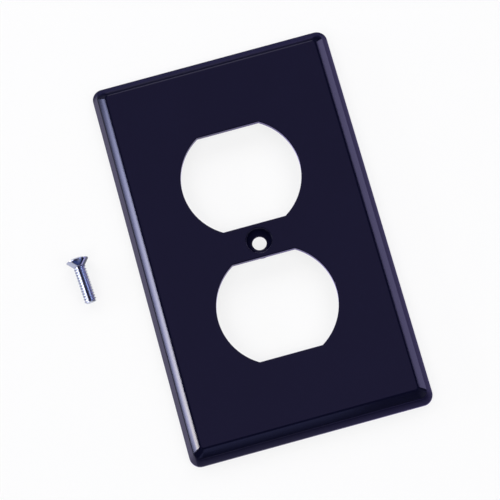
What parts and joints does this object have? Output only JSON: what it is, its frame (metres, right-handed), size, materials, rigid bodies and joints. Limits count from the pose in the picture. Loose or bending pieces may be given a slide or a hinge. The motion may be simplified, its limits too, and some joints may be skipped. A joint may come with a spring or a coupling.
{
  "type": "duplex outlet cover plate",
  "caption": "Single-gang wall plate with round, flat-sided outlet openings, a bevelled edge and a countersunk hole, with its oval-head screw beside it.",
  "frame": {"origin": "middle of the plate in the wall plane, on the axis of the screw hole", "axes": "+X across the plate, +Y along it, +Z out of the wall, towards the room"},
  "size_m": [0.089, 0.1142, 0.0064],
  "materials": {
    "plate_plastic": "high gloss, very dark navy",
    "screw_plating": "bright zinc plating"
  },
  "bodies": {
    "root": {"cover_plate": "plate_plastic", "mounting_screw": "screw_plating"}
  },
  "joints": []
}
